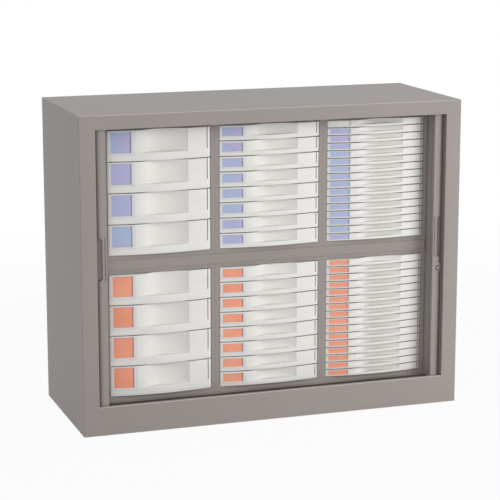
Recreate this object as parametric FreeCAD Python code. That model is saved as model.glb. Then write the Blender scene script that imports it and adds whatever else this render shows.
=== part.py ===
import FreeCAD, Part
import math
import os
from collections import namedtuple

from FreeCAD import Vector

# Low steel cabinet with two tambour doors and 56 drawers in six casings.
# Millimetres, +Z up, X from left to right. Pieces are made with Y = 0 at the front plane and
# Y growing towards the back, and are moved at the end so that the origin is on the floor
# under the middle of the cabinet.

# Overall size
CABINET_WIDTH = 1200.0
CABINET_DEPTH = 475.0
CABINET_HEIGHT = 955.0

# Outer sheet and the frame round the front
PANEL_SHEET = 1.5
BACK_SHEET = 1.5
BEND_RADIUS = 2.5
RAIL_HEIGHT = 43.0
STILE_WIDTH = 48.0
PLINTH_HEIGHT = 87.0
FRAME_RETURN = 12.0
FRAME_HOOK = 16.0
REAR_FLANGE = 20.0
PLINTH_FOOT = 22.0

# Groove and track that the doors run in
GROOVE_WIDTH = 18.0
TRACK_WALL = 1.0
TRACK_HEIGHT = 5.0
SIDE_GAP = 0.5
REAR_GAP = 1.5
CURTAIN_BEND = 39.0
REAR_RUN = 60.0
FLOOR_BELOW_LIP = 4.0
CEILING_ABOVE_LIP = 2.6

# Doors: lead bars and slats
RUNNING_CLEARANCE = 0.4
BAR_WIDTH = 30.0
BAR_STILE_GAP = 2.5
BAR_FLAT = 16.5
BAR_OUTER_DROP = 5.6
BAR_EDGE_RADIUS = 1.5
GRIP_BOTTOM = 465.0
GRIP_HEIGHT = 130.0
GRIP_FROM_EDGE = 13.0
GRIP_WIDTH = 14.0
GRIP_DEPTH = 7.5
GRIP_END = 6.0
GRIP_LINE_FROM_EDGE = 4.5
GRIP_LINE_WIDTH = 1.5
GRIP_LINE_DEPTH = 1.5
SLATS = 22
SLAT_PITCH = 24.5
SLAT_GAP = 0.9
SLAT_THICKNESS = 7.0
SLAT_BEVEL = 1.3

# How far a cutting shape starts outside the piece it cuts
OVERCUT = 1.0

# Lock in the right lead bar
LOCK_HEIGHT = 431.0
LOCK_FROM_EDGE = 18.5
LOCK_RADIUS = 8.0
LOCK_FACE_PROUD = 1.2
LOCK_CLEARANCE = 0.4
PLATE_WIDTH = 21.0
PLATE_HEIGHT = 29.0
PLATE_PROUD = 0.5
KEYHOLE_WIDTH = 1.8
KEYHOLE_HEIGHT = 9.0
KEYHOLE_DEPTH = 7.0
CAM_THICKNESS = 2.5
CAM_REACH = 26.0
CAM_HALF_WIDTH = 6.0
CAM_FROM_FACE = 8.0
CAM_ROOM = 2.5

# Inner uprights, between the drawers and the stored doors
BAR_UPRIGHT_OFFSET = 2.5
UPRIGHT_SHEET = 1.2
UPRIGHT_LIP = 8.0
UPRIGHT_REAR_GAP = 4.0

# Casings that hold the drawers
COLUMNS = 3
CASING_SETBACK = 63.0
CASING_SHEET = 1.2
CASING_SIDE_GAP = 1.0
CASING_JOINT = 0.3
CASING_REAR_GAP = 8.0
STACK_CLEARANCE = 0.3
SIDE_BORDER = 13.0
BOTTOM_BORDER = 16.4
TOP_BORDER = 12.0

# Shelf between the two rows of casings
SHELF_SHEET = 1.5
SHELF_HEIGHT = 28.5
SHELF_SETBACK = 60.0
SHELF_END_GAP = 3.5
SHELF_RETURN = 15.0
BRACKET_SHEET = 2.0
BRACKET_WIDTH = 24.0
BRACKET_HEIGHT = 20.0
BRACKET_LEDGE = 14.0
BRACKET_INSET = 40.0

# Runners under the drawers
RUNNER_DEPTH = 21.0
RUNNER_TIP = 1.4
RUNNER_ROOT = 2.8
RUNNER_RISE = 1.8
RUNNER_CLEARANCE = 0.3
RUNNER_BACK_GAP = 2.0

# Drawers: fronts bowed in plan, with a scooped finger pull
FRONT_GAP = 1.0
FRONT_SIDE_GAP = 0.7
FRONT_PROUD = 1.5
BOW_RISE = 15.0
FRONT_BACK = 73.5
SCOOP_LEFT = 85.0
SCOOP_DEEPEST = 163.0
SCOOP_RIGHT = 244.0
SCOOP_DEPTH = 24.0
SCOOP_LEAVING_ANGLE = 4.0
SCOOP_FLAT_LEFT = 22.0
SCOOP_FLAT_RIGHT = 30.0
SCOOP_FLAT_RISE = 2.5
TRAY_WALL = 2.0
TRAY_FLOOR = 1.8
TRAY_BACK_GAP = 12.0
LABEL_RECESS = 0.8

# Kinds of drawer, one to a column; the slim ones go two to a named piece
SLIM_PER_NODE = 2

DrawerKind = namedtuple("DrawerKind", "name rows lip tray_drop label")
Label = namedtuple("Label", "left width top height")
LARGE = DrawerKind("large", 4, 24.0, 8.0, Label(10.0, 62.0, 5.3, 62.5))
MEDIUM = DrawerKind("medium", 8, 13.0, 6.0, Label(8.0, 65.0, 6.0, 26.0))
SLIM = DrawerKind("slim", 16, 7.5, 4.0, None)

# Levels and places worked out from the sizes above
HALF_WIDTH = CABINET_WIDTH / 2
STILE_EDGE = HALF_WIDTH - STILE_WIDTH
FLOOR_Z = PLINTH_HEIGHT - FLOOR_BELOW_LIP
CEILING_Z = CABINET_HEIGHT - RAIL_HEIGHT + CEILING_ABOVE_LIP
BASE_Z = FLOOR_Z - TRACK_HEIGHT
HEAD_Z = CEILING_Z + TRACK_HEIGHT
GROOVE_MIDDLE = FRAME_RETURN + GROOVE_WIDTH / 2
GROOVE_BACK = FRAME_RETURN + GROOVE_WIDTH
SIDE_LINE = HALF_WIDTH - PANEL_SHEET - SIDE_GAP - GROOVE_WIDTH / 2
BACK_FACE = CABINET_DEPTH - PANEL_SHEET - BACK_SHEET
REAR_LINE = BACK_FACE - REAR_GAP - GROOVE_WIDTH / 2
BAR_OUTER = STILE_EDGE - BAR_STILE_GAP
BAR_INNER = BAR_OUTER - BAR_WIDTH
BAR_FRONT = FRAME_RETURN + TRACK_WALL + RUNNING_CLEARANCE
BAR_BACK = GROOVE_BACK - TRACK_WALL - RUNNING_CLEARANCE
DOOR_BOTTOM = BASE_Z + TRACK_WALL + RUNNING_CLEARANCE
DOOR_TOP = HEAD_Z - TRACK_WALL - RUNNING_CLEARANCE
UPRIGHT_X = BAR_INNER - BAR_UPRIGHT_OFFSET
UPRIGHT_BACK = REAR_LINE - GROOVE_WIDTH / 2 - UPRIGHT_REAR_GAP
COLUMN_PITCH = 2 * (UPRIGHT_X - CASING_SIDE_GAP) / COLUMNS
CASING_WIDTH = COLUMN_PITCH - CASING_JOINT
CASING_BACK = REAR_LINE - GROOVE_WIDTH / 2 - CASING_REAR_GAP
CASING_HEIGHT = (CEILING_Z - FLOOR_Z - SHELF_HEIGHT - 2 * STACK_CLEARANCE) / 2
SHELF_Z = FLOOR_Z + CASING_HEIGHT + STACK_CLEARANCE
UPPER_CASING_Z = SHELF_Z + SHELF_HEIGHT
FIELD_HEIGHT = CASING_HEIGHT - BOTTOM_BORDER - TOP_BORDER
MOUTH_WIDTH = CASING_WIDTH - 2 * SIDE_BORDER
DRAWER_WIDTH = MOUTH_WIDTH - 2 * FRONT_SIDE_GAP
DRAWER_HALF = DRAWER_WIDTH / 2
FRONT_END = CASING_SETBACK - FRONT_PROUD
TRAY_BACK = CASING_BACK - TRAY_BACK_GAP
BOW_RADIUS = (DRAWER_HALF**2 + BOW_RISE**2) / (2 * BOW_RISE)
BOW_CENTRE = Vector(0, FRONT_END - BOW_RISE + BOW_RADIUS, 0)
LOCK_X = BAR_INNER + LOCK_FROM_EDGE
CAM_Y = BAR_FRONT + CAM_FROM_FACE

UP = Vector(0, 0, 1)
BACKWARD = Vector(0, 1, 0)


def box(x0, x1, y0, y1, z0, z1):
    """A block between two corners."""
    return Part.makeBox(x1 - x0, y1 - y0, z1 - z0, Vector(x0, y0, z0))


def line(start, end):
    return Part.LineSegment(start, end).toShape()


def ring_of(points):
    """Edges of a closed outline with sharp corners."""
    return [line(a, b) for a, b in zip(points, points[1:] + points[:1])]


def short_arc(centre, radius, start, end):
    """The shorter arc about the centre from start to end."""
    middle = (start + end) * 0.5 - centre
    return Part.Arc(start, centre + middle * (radius / middle.Length), end).toShape()


def prism(edges, travel):
    """The area inside a ring of edges, carried along a vector."""
    return Part.Face(Part.Wire(Part.__sortEdges__(edges))).extrude(travel)


def rounded_ring(points, radii):
    """Edges of a closed outline with each corner rounded to its own radius."""
    count = len(points)
    starts, ends, edges = [], [], []
    for i in range(count):
        here = points[i]
        back = points[i - 1] - here
        ahead = points[(i + 1) % count] - here
        cut = radii[i] / math.tan(back.getAngle(ahead) / 2)
        starts.append(here + back * (cut / back.Length))
        ends.append(here + ahead * (cut / ahead.Length))
    for i in range(count):
        if radii[i] > 0:
            inward = (starts[i] + ends[i]) * 0.5 - points[i]
            reach = math.hypot(radii[i], (starts[i] - points[i]).Length)
            middle = points[i] + inward * ((reach - radii[i]) / inward.Length)
            edges.append(Part.Arc(starts[i], middle, ends[i]).toShape())
        edges.append(line(ends[i], starts[(i + 1) % count]))
    return edges


def folded_sheet(path, sheet, travel, soft=()):
    """A sheet folded square along a path, then extruded.

    The path is the sheet's outer face, and the sheet lies on the side of its first fold.
    The corners whose numbers are in soft are rounded on the outside.
    """
    first_fold = (path[1] - path[0]).cross(path[2] - path[1])
    flip = 1 if first_fold.dot(travel) > 0 else -1
    sides = [travel.cross(b - a) for a, b in zip(path, path[1:])]
    sides = [side * (flip * sheet / side.Length) for side in sides]
    inner = [path[0] + sides[0]]
    inner += [corner + a + b for corner, a, b in zip(path[1:], sides, sides[1:])]
    inner.append(path[-1] + sides[-1])
    radii = [BEND_RADIUS if i in soft else 0.0 for i in range(len(path))]
    return prism(rounded_ring(path + inner[::-1], radii + [0.0] * len(inner)), travel)


def mirrored(shape):
    """The same piece on the other side of the cabinet."""
    return shape.mirror(Vector(0, 0, 0), Vector(1, 0, 0))


def top_panel():
    """Roof with the front rail folded down between the stiles and hooked back and up."""
    lip = CABINET_HEIGHT - RAIL_HEIGHT
    path = [
        Vector(-HALF_WIDTH, FRAME_RETURN, lip + FRAME_HOOK),
        Vector(-HALF_WIDTH, FRAME_RETURN, lip),
        Vector(-HALF_WIDTH, 0, lip),
        Vector(-HALF_WIDTH, 0, CABINET_HEIGHT),
        Vector(-HALF_WIDTH, CABINET_DEPTH, CABINET_HEIGHT),
        Vector(-HALF_WIDTH, CABINET_DEPTH, CABINET_HEIGHT - REAR_FLANGE),
    ]
    roof = folded_sheet(path, PANEL_SHEET, Vector(CABINET_WIDTH, 0, 0), soft=(2, 3))
    under = CABINET_HEIGHT - PANEL_SHEET
    for x0, x1 in ((-HALF_WIDTH, -STILE_EDGE), (STILE_EDGE, HALF_WIDTH)):
        roof = roof.cut(box(x0, x1, 0, CABINET_DEPTH, lip, under))
    return roof.removeSplitter()


def right_side_panel():
    """Side wall with the stile folded from its front edge and a flange along the back."""
    path = [
        Vector(STILE_EDGE + FRAME_HOOK, FRAME_RETURN, 0),
        Vector(STILE_EDGE, FRAME_RETURN, 0),
        Vector(STILE_EDGE, 0, 0),
        Vector(HALF_WIDTH, 0, 0),
        Vector(HALF_WIDTH, CABINET_DEPTH, 0),
        Vector(HALF_WIDTH - REAR_FLANGE, CABINET_DEPTH, 0),
    ]
    tall = CABINET_HEIGHT - PANEL_SHEET
    return folded_sheet(path, PANEL_SHEET, Vector(0, 0, tall), soft=(2, 3))


def plinth():
    """Kick panel between the stiles, hooked back and down at the top, with a foot flange."""
    path = [
        Vector(-STILE_EDGE, FRAME_RETURN, PLINTH_HEIGHT - FRAME_HOOK),
        Vector(-STILE_EDGE, FRAME_RETURN, PLINTH_HEIGHT),
        Vector(-STILE_EDGE, 0, PLINTH_HEIGHT),
        Vector(-STILE_EDGE, 0, 0),
        Vector(-STILE_EDGE, PLINTH_FOOT, 0),
    ]
    return folded_sheet(path, PANEL_SHEET, Vector(2 * STILE_EDGE, 0, 0), soft=(2,))


def back_panel():
    """Flat sheet closed against the rear flanges."""
    wide = HALF_WIDTH - PANEL_SHEET
    top = CABINET_HEIGHT - PANEL_SHEET
    return box(-wide, wide, BACK_FACE, BACK_FACE + BACK_SHEET, 0, top)


def curtain_line(offset):
    """Corners and edges of the right door's path, moved outwards by the offset.

    It starts at the middle of the front and ends behind the drawers.
    """
    radius = CURTAIN_BEND + offset
    corner_x = SIDE_LINE - CURTAIN_BEND
    front_corner = Vector(corner_x, GROOVE_MIDDLE + CURTAIN_BEND, 0)
    rear_corner = Vector(corner_x, REAR_LINE - CURTAIN_BEND, 0)
    outward, forward = Vector(radius, 0, 0), Vector(0, -radius, 0)
    stops = [
        Vector(0, front_corner.y - radius, 0),
        front_corner + forward,
        front_corner + outward,
        rear_corner + outward,
        rear_corner - forward,
        Vector(corner_x - REAR_RUN, rear_corner.y + radius, 0),
    ]
    return stops, [
        line(stops[0], stops[1]),
        short_arc(front_corner, radius, stops[1], stops[2]),
        line(stops[2], stops[3]),
        short_arc(rear_corner, radius, stops[3], stops[4]),
        line(stops[4], stops[5]),
    ]


def curtain_band(inner_offset, outer_offset, height):
    """A strip of the given height along the doors' path, between two offsets."""
    inner_stops, inner = curtain_line(inner_offset)
    outer_stops, outer = curtain_line(outer_offset)
    ends = [line(inner_stops[0], outer_stops[0]), line(inner_stops[-1], outer_stops[-1])]
    return prism(inner + outer + ends, Vector(0, 0, height))


def pan(rim_z, lift):
    """Full-size plate with its middle pressed up or down by the lift."""
    wide = HALF_WIDTH - PANEL_SHEET
    inner_x = SIDE_LINE - CURTAIN_BEND
    inner_back = REAR_LINE - GROOVE_WIDTH / 2
    plate = box(-wide, wide, FRAME_RETURN, BACK_FACE, rim_z, rim_z + PANEL_SHEET)

    def middle(inset, z0, z1):
        x, y0, y1 = inner_x - inset, GROOVE_BACK + inset, inner_back - inset
        return box(-x, x, y0, y1, z0, z1)

    low, high = sorted((0.0, lift))
    block = middle(0.0, rim_z + low, rim_z + high + PANEL_SHEET)
    hollow_from = rim_z if lift > 0 else rim_z + lift + PANEL_SHEET
    hollow = middle(PANEL_SHEET, hollow_from, hollow_from + abs(lift))
    return plate.fuse(block).cut(hollow).removeSplitter()


def base_panel():
    """Bottom pan: its raised middle carries the lower casings, its rim the lower tracks."""
    return pan(BASE_Z - PANEL_SHEET, TRACK_HEIGHT)


def ceiling_panel():
    """Inner top pan, pressed down over the upper casings, with the upper tracks under its rim."""
    return pan(HEAD_Z, -TRACK_HEIGHT)


def lower_track():
    """Angle strip under the right door: a floor, with a wall on the drawers' side.

    The frame's hooks, the side panel and the back close the path's other side.
    """
    half = GROOVE_WIDTH / 2
    floor = curtain_band(-half, half, TRACK_WALL)
    wall = curtain_band(-half, TRACK_WALL - half, TRACK_HEIGHT)
    track = floor.fuse(wall).removeSplitter()
    track.translate(Vector(0, 0, BASE_Z))
    return track


def upper_track():
    """The lower strip turned over, under the ceiling's rim."""
    return lower_track().mirror(Vector(0, 0, (BASE_Z + HEAD_Z) / 2), UP)


def curtain_tracks():
    right = [lower_track(), upper_track()]
    return right + [mirrored(track) for track in right]


def point_on_path(distance):
    """Point on the right door's path at a distance behind the open lead bar."""
    corner_x = SIDE_LINE - CURTAIN_BEND
    front_y = GROOVE_MIDDLE + CURTAIN_BEND
    rear_y = REAR_LINE - CURTAIN_BEND
    front_run = corner_x - BAR_OUTER
    quarter = CURTAIN_BEND * math.pi / 2
    side_run = rear_y - front_y
    if distance < front_run:
        return Vector(BAR_OUTER + distance, GROOVE_MIDDLE, 0)
    distance -= front_run
    if distance < quarter:
        turn = distance / CURTAIN_BEND
        return Vector(
            corner_x + CURTAIN_BEND * math.sin(turn),
            front_y - CURTAIN_BEND * math.cos(turn),
            0,
        )
    distance -= quarter
    if distance < side_run:
        return Vector(SIDE_LINE, front_y + distance, 0)
    distance -= side_run
    if distance < quarter:
        turn = distance / CURTAIN_BEND
        return Vector(
            corner_x + CURTAIN_BEND * math.cos(turn),
            rear_y + CURTAIN_BEND * math.sin(turn),
            0,
        )
    return Vector(corner_x - (distance - quarter), REAR_LINE, 0)


def slat(start, end):
    """One slat between two points of the path, bevelled on the side that bends close up."""
    along = end - start
    along.normalize()
    outward = along.cross(UP)
    middle = (start + end) * 0.5 + Vector(0, 0, DOOR_BOTTOM)
    half = (SLAT_PITCH - SLAT_GAP) / 2
    side = SLAT_THICKNESS / 2
    narrow = half - SLAT_BEVEL
    corners = [(-half, side), (half, side), (narrow, -side), (-narrow, -side)]
    points = [middle + along * u + outward * v for u, v in corners]
    return prism(ring_of(points), Vector(0, 0, DOOR_TOP - DOOR_BOTTOM))


def right_tambour_curtain():
    """The slats as they lie with the door open: round the bend, along the side, round the back."""
    stops = [point_on_path(i * SLAT_PITCH) for i in range(SLATS + 1)]
    return [slat(a, b) for a, b in zip(stops, stops[1:])]


def bar_blank():
    """Right lead bar: flat beside its meeting edge, falling back in a curve to the slats."""
    flat_end = BAR_INNER + BAR_FLAT
    fall = BAR_OUTER - flat_end
    radius = (fall**2 + BAR_OUTER_DROP**2) / (2 * BAR_OUTER_DROP)
    meeting = Vector(BAR_INNER, BAR_FRONT + BAR_EDGE_RADIUS, 0)
    front = Vector(BAR_INNER + BAR_EDGE_RADIUS, BAR_FRONT, 0)
    edge_centre = Vector(front.x, meeting.y, 0)
    crest = Vector(flat_end, BAR_FRONT, 0)
    outer = Vector(BAR_OUTER, BAR_FRONT + BAR_OUTER_DROP, 0)
    back_outer = Vector(BAR_OUTER, BAR_BACK, 0)
    back_inner = Vector(BAR_INNER, BAR_BACK, 0)
    edges = [
        short_arc(edge_centre, BAR_EDGE_RADIUS, meeting, front),
        line(front, crest),
        short_arc(crest + BACKWARD * radius, radius, crest, outer),
        line(outer, back_outer),
        line(back_outer, back_inner),
        line(back_inner, meeting),
    ]
    bar = prism(edges, Vector(0, 0, DOOR_TOP - DOOR_BOTTOM))
    bar.translate(Vector(0, 0, DOOR_BOTTOM))
    return bar


def gripped_bar():
    """The bar with its finger recess and the fine line beside the recess."""
    inner = BAR_INNER + GRIP_FROM_EDGE
    outer = inner + GRIP_WIDTH
    top = GRIP_BOTTOM + GRIP_HEIGHT
    outline = [
        (inner, GRIP_BOTTOM + GRIP_END),
        (inner + GRIP_WIDTH / 2, GRIP_BOTTOM),
        (outer, GRIP_BOTTOM + GRIP_END),
        (outer, top - GRIP_END),
        (inner + GRIP_WIDTH / 2, top),
        (inner, top - GRIP_END),
    ]
    start = BAR_FRONT - OVERCUT
    points = [Vector(x, start, z) for x, z in outline]
    grip = prism(ring_of(points), Vector(0, GRIP_DEPTH + OVERCUT, 0))
    line_x = BAR_INNER + GRIP_LINE_FROM_EDGE
    groove = box(
        line_x,
        line_x + GRIP_LINE_WIDTH,
        start,
        BAR_FRONT + GRIP_LINE_DEPTH,
        GRIP_BOTTOM,
        top,
    )
    return bar_blank().cut(grip).cut(groove)


def cam_slot(inner_x, outer_x, low, high):
    """The slit in a bar that the lock's cam turns or reaches into."""
    front = CAM_Y - LOCK_CLEARANCE
    return box(inner_x, outer_x, front, CAM_Y + CAM_THICKNESS + LOCK_CLEARANCE, low, high)


def lock_plate():
    """Face plate round the lock, with half-round ends."""
    half = PLATE_WIDTH / 2
    front = BAR_FRONT - PLATE_PROUD
    low = Vector(LOCK_X, front, LOCK_HEIGHT)
    high = low + UP * (PLATE_HEIGHT - PLATE_WIDTH)
    across = Vector(half, 0, 0)
    edges = [
        Part.Arc(low - across, low - UP * half, low + across).toShape(),
        line(low + across, high + across),
        Part.Arc(high + across, high + UP * half, high - across).toShape(),
        line(high - across, low - across),
    ]
    return prism(edges, BACKWARD * (BAR_BACK - front))


def right_lead_bar():
    """Lead bar with the lock's face plate, its bore and the room for its cam."""
    bore = Part.makeCylinder(
        LOCK_RADIUS + LOCK_CLEARANCE,
        CAM_Y - BAR_FRONT + OVERCUT,
        Vector(LOCK_X, BAR_FRONT - OVERCUT, LOCK_HEIGHT),
        BACKWARD,
    )
    swing = CAM_REACH + LOCK_CLEARANCE
    side = CAM_HALF_WIDTH + CAM_ROOM
    slot = cam_slot(LOCK_X - swing, LOCK_X + side, LOCK_HEIGHT - side, LOCK_HEIGHT + swing)
    return gripped_bar().fuse(lock_plate()).cut(bore).cut(slot).removeSplitter()


def left_lead_bar():
    """Mirrored bar with the slit that the cam hooks into when the doors meet."""
    reach = CAM_REACH - LOCK_FROM_EDGE + CAM_ROOM
    side = CAM_HALF_WIDTH + CAM_ROOM
    slot = cam_slot(-BAR_INNER - reach, -BAR_INNER, LOCK_HEIGHT - side, LOCK_HEIGHT + side)
    return mirrored(gripped_bar()).cut(slot)


def lock_barrel():
    """Cylinder lock with a keyhole, up to its cam."""
    face = BAR_FRONT - LOCK_FACE_PROUD
    barrel = Part.makeCylinder(
        LOCK_RADIUS, CAM_Y - face, Vector(LOCK_X, face, LOCK_HEIGHT), BACKWARD
    )
    keyhole = box(
        LOCK_X - KEYHOLE_WIDTH / 2,
        LOCK_X + KEYHOLE_WIDTH / 2,
        face,
        face + KEYHOLE_DEPTH,
        LOCK_HEIGHT - KEYHOLE_HEIGHT / 2,
        LOCK_HEIGHT + KEYHOLE_HEIGHT / 2,
    )
    return barrel.cut(keyhole)


def lock_cam():
    """Flat cam that stands up when unlocked and turns a quarter towards the other door."""
    return box(
        LOCK_X - CAM_HALF_WIDTH,
        LOCK_X + CAM_HALF_WIDTH,
        CAM_Y,
        CAM_Y + CAM_THICKNESS,
        LOCK_HEIGHT - CAM_HALF_WIDTH,
        LOCK_HEIGHT + math.sqrt(CAM_REACH**2 - CAM_HALF_WIDTH**2),
    )


def right_inner_upright():
    """Sheet between the drawers and the stored door, with a lip along its front edge."""
    path = [
        Vector(UPRIGHT_X + UPRIGHT_LIP, GROOVE_BACK, FLOOR_Z),
        Vector(UPRIGHT_X, GROOVE_BACK, FLOOR_Z),
        Vector(UPRIGHT_X, UPRIGHT_BACK, FLOOR_Z),
    ]
    return folded_sheet(path, UPRIGHT_SHEET, Vector(0, 0, CEILING_Z - FLOOR_Z))


def middle_shelf():
    """Shelf folded down at the front and back, with a return under its front edge."""
    end = UPRIGHT_X - SHELF_END_GAP
    top = SHELF_Z + SHELF_HEIGHT
    path = [
        Vector(-end, SHELF_SETBACK + SHELF_RETURN, SHELF_Z),
        Vector(-end, SHELF_SETBACK, SHELF_Z),
        Vector(-end, SHELF_SETBACK, top),
        Vector(-end, CASING_BACK, top),
        Vector(-end, CASING_BACK, SHELF_Z),
    ]
    return folded_sheet(path, SHELF_SHEET, Vector(2 * end, 0, 0))


def shelf_brackets():
    """Four angle brackets on the uprights, under the shelf's top sheet."""
    seat = SHELF_Z + SHELF_HEIGHT - SHELF_SHEET
    pieces = []
    for y in (
        SHELF_SETBACK + BRACKET_INSET,
        CASING_BACK - BRACKET_INSET - BRACKET_WIDTH,
    ):
        path = [
            Vector(UPRIGHT_X, y, seat - BRACKET_HEIGHT),
            Vector(UPRIGHT_X, y, seat),
            Vector(UPRIGHT_X - BRACKET_LEDGE, y, seat),
        ]
        bracket = folded_sheet(path, BRACKET_SHEET, Vector(0, BRACKET_WIDTH, 0))
        pieces += [bracket, mirrored(bracket)]
    return pieces


def column_x(column):
    return (column - (COLUMNS - 1) / 2) * COLUMN_PITCH


def casing(column, bottom):
    """Drawer casing: a box open at the front behind a border."""
    half = CASING_WIDTH / 2
    mouth = MOUTH_WIDTH / 2
    top = bottom + CASING_HEIGHT
    shell = box(-half, half, CASING_SETBACK, CASING_BACK, bottom, top)
    inside = box(
        CASING_SHEET - half,
        half - CASING_SHEET,
        CASING_SETBACK + CASING_SHEET,
        CASING_BACK - CASING_SHEET,
        bottom + CASING_SHEET,
        top - CASING_SHEET,
    )
    opening = box(
        -mouth,
        mouth,
        CASING_SETBACK,
        CASING_SETBACK + CASING_SHEET,
        bottom + BOTTOM_BORDER,
        top - TOP_BORDER,
    )
    shell = shell.cut(inside).cut(opening)
    shell.translate(Vector(column_x(column), 0, 0))
    return shell


def drawer_casings():
    return [
        casing(column, bottom)
        for bottom in (FLOOR_Z, UPPER_CASING_Z)
        for column in range(COLUMNS)
    ]


def pitch_of(kind):
    return FIELD_HEIGHT / kind.rows


def drawer_z(kind, bottom, row):
    """Height of a drawer's lower edge, rows counted from the top of its casing."""
    field = bottom + BOTTOM_BORDER
    return field + (kind.rows - 1 - row) * pitch_of(kind) + FRONT_GAP / 2


def runner(side, x, z):
    """Ledge on a casing's side wall, thicker at its root."""
    root = side * (CASING_WIDTH / 2 - CASING_SHEET)
    tip = root - side * RUNNER_DEPTH
    start = FRONT_BACK + RUNNER_BACK_GAP
    top = z + RUNNER_RISE
    points = [
        Vector(x + root, start, top),
        Vector(x + tip, start, top),
        Vector(x + tip, start, top - RUNNER_TIP),
        Vector(x + root, start, top - RUNNER_ROOT),
    ]
    return prism(ring_of(points), Vector(0, CASING_BACK - CASING_SHEET - start, 0))


def drawer_runners():
    """A pair of ledges under every drawer."""
    return [
        runner(side, column_x(column), drawer_z(kind, bottom, row))
        for column, kind in enumerate((LARGE, MEDIUM, SLIM))
        for bottom in (FLOOR_Z, UPPER_CASING_Z)
        for row in range(kind.rows)
        for side in (-1, 1)
    ]


def bow_point(x):
    """Point on the bowed line of a drawer front."""
    return Vector(x, BOW_CENTRE.y - math.sqrt(BOW_RADIUS**2 - x * x), 0)


def bow_arc(start, end):
    return short_arc(BOW_CENTRE, BOW_RADIUS, start, end)


def scoop_ends():
    """Where the finger pull leaves and meets the bow, and its deepest point."""
    start = bow_point(SCOOP_LEFT - DRAWER_HALF)
    deepest = bow_point(SCOOP_DEEPEST - DRAWER_HALF) + BACKWARD * SCOOP_DEPTH
    end = bow_point(SCOOP_RIGHT - DRAWER_HALF)
    return start, deepest, end


def scoop_arcs():
    """Finger pull in plan, curved.

    A reverse curve of two equal arcs leaves the bow almost in line with it and runs to the
    deepest point, then one arc comes forward to a crease on the bow.
    """
    start, deepest, end = scoop_ends()
    normal = BOW_CENTRE - start
    normal.normalize()
    normal = FreeCAD.Rotation(UP, SCOOP_LEAVING_ANGLE).multVec(normal)
    gap = start - deepest
    square = 2 * normal.dot(BACKWARD) - 2
    middle = 2 * gap.dot(normal + BACKWARD)
    turn = 2 * gap.dot(gap) / (math.sqrt(middle**2 - 4 * square * gap.dot(gap)) - middle)
    first_centre = start + normal * turn
    second_centre = deepest - BACKWARD * turn
    meeting = (first_centre + second_centre) * 0.5
    across, rise = end.x - deepest.x, deepest.y - end.y
    last_turn = (across**2 + rise**2) / (2 * rise)
    last_centre = deepest - BACKWARD * last_turn
    return [
        short_arc(first_centre, turn, start, meeting),
        short_arc(second_centre, turn, meeting, deepest),
        short_arc(last_centre, last_turn, deepest, end),
    ]


def scoop_flats():
    """Finger pull in plan with flat sides, for the slim drawers."""
    start, deepest, end = scoop_ends()
    left = deepest - Vector(SCOOP_FLAT_LEFT, SCOOP_FLAT_RISE, 0)
    right = deepest + Vector(SCOOP_FLAT_RIGHT, -SCOOP_FLAT_RISE, 0)
    stops = [start, left, right, end]
    return [line(a, b) for a, b in zip(stops, stops[1:])]


def front_slab(front_edges, height):
    """Slab of a drawer front from its front line to its flat back."""
    left, right = bow_point(-DRAWER_HALF), bow_point(DRAWER_HALF)
    back_left = Vector(-DRAWER_HALF, FRONT_BACK, 0)
    back_right = Vector(DRAWER_HALF, FRONT_BACK, 0)
    sides = [
        line(right, back_right),
        line(back_right, back_left),
        line(back_left, left),
    ]
    return prism(front_edges + sides, Vector(0, 0, height))


def label_pocket(kind, height):
    """Shallow recess with a flat floor, square to the bow in the middle of the label."""
    left = bow_point(kind.label.left - DRAWER_HALF)
    right = bow_point(kind.label.left + kind.label.width - DRAWER_HALF)
    along = right - left
    along.normalize()
    inward = UP.cross(along)
    floor, outside = inward * LABEL_RECESS, inward * -BOW_RISE
    base = Vector(0, 0, height - kind.label.top - kind.label.height)
    corners = [left + floor, right + floor, right + outside, left + outside]
    points = [corner + base for corner in corners]
    return prism(ring_of(points), Vector(0, 0, kind.label.height))


def drawer(kind):
    """One drawer in one piece, its front's lower edge at z = 0 and its middle at x = 0."""
    height = pitch_of(kind) - FRONT_GAP
    start, _, end = scoop_ends()
    scoop = scoop_flats() if kind is SLIM else scoop_arcs()
    left, right = bow_point(-DRAWER_HALF), bow_point(DRAWER_HALF)
    lower = front_slab([bow_arc(left, right)], kind.lip)
    upper = front_slab([bow_arc(left, start)] + scoop + [bow_arc(end, right)], height - kind.lip)
    upper.translate(Vector(0, 0, kind.lip))
    floor = RUNNER_RISE + RUNNER_CLEARANCE
    rim = height - kind.tray_drop
    tray = box(-DRAWER_HALF, DRAWER_HALF, FRONT_BACK, TRAY_BACK, floor, rim)
    hollow = box(
        TRAY_WALL - DRAWER_HALF,
        DRAWER_HALF - TRAY_WALL,
        FRONT_BACK,
        TRAY_BACK - TRAY_WALL,
        floor + TRAY_FLOOR,
        height,
    )
    solid = lower.fuse([upper, tray.cut(hollow)]).removeSplitter()
    if kind.label:
        solid = solid.cut(label_pocket(kind, height))
    return solid.Solids[0]


def moved(shape, x, z):
    copy = shape.copy()
    copy.translate(Vector(x, 0, z))
    return copy


def drawer_nodes():
    """Every drawer by name, rows numbered from the top; the slim ones go two to a name."""
    nodes = {}
    rows = (("upper", UPPER_CASING_Z), ("lower", FLOOR_Z))
    for column, kind in enumerate((LARGE, MEDIUM, SLIM)):
        shape = drawer(kind)
        for place, bottom in rows:
            copies = [
                moved(shape, column_x(column), drawer_z(kind, bottom, row))
                for row in range(kind.rows)
            ]
            if kind is not SLIM:
                for row, copy in enumerate(copies):
                    nodes[f"{kind.name}_drawer_{place}_{row + 1}"] = [copy]
                continue
            for row in range(0, kind.rows, SLIM_PER_NODE):
                pair = row // SLIM_PER_NODE + 1
                nodes[f"slim_drawer_pair_{place}_{pair}"] = copies[row : row + SLIM_PER_NODE]
    return nodes


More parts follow.
